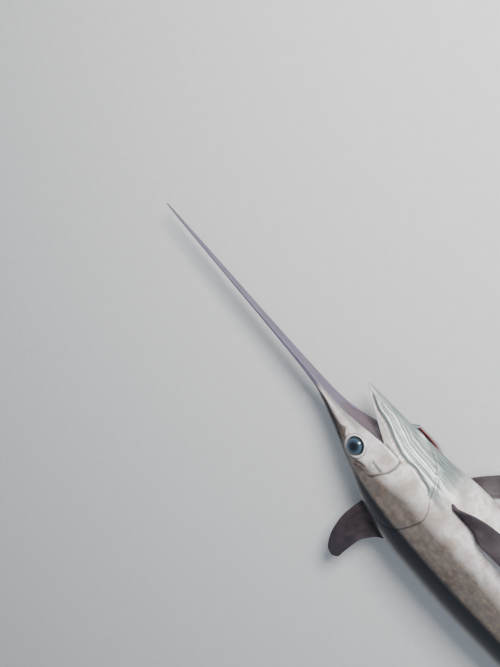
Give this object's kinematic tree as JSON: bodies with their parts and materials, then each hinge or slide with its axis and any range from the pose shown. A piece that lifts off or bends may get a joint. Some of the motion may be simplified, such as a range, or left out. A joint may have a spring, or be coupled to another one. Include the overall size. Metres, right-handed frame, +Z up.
{
  "type": "swordfish model",
  "caption": "Life-size swordfish lying on its left flank, with its mouth open, a long flat bill, stiff fins and a crescent tail.",
  "frame": {"origin": "on the floor, at the middle of the small flat on which the left flank rests", "axes": "+X towards the tip of the bill, +Y towards the back (dorsal side), +Z up, towards the right flank"},
  "size_m": [2.5011, 0.6407, 0.2655],
  "materials": {
    "skin": "wet skin, dark bronze back, silvery flanks",
    "bill": "semi-gloss, purplish grey-brown",
    "fin": "semi-gloss, dark brown membrane with raised rays",
    "eye": "high gloss, blue-grey iris and dark pupil"
  },
  "bodies": {
    "root": {"head": "skin", "lower_jaw": "skin", "torso_front": "skin", "torso_rear": "skin", "tail_stem": "skin", "bill": "bill", "dorsal_fin_first": "fin", "dorsal_fin_second": "fin", "anal_fin_first": "fin", "anal_fin_second": "fin", "pectoral_fin_right": "fin", "pectoral_fin_left": "fin", "tail_fin_upper": "fin", "tail_fin_lower": "fin", "eye_right": "eye", "eye_left": "eye"}
  },
  "joints": []
}
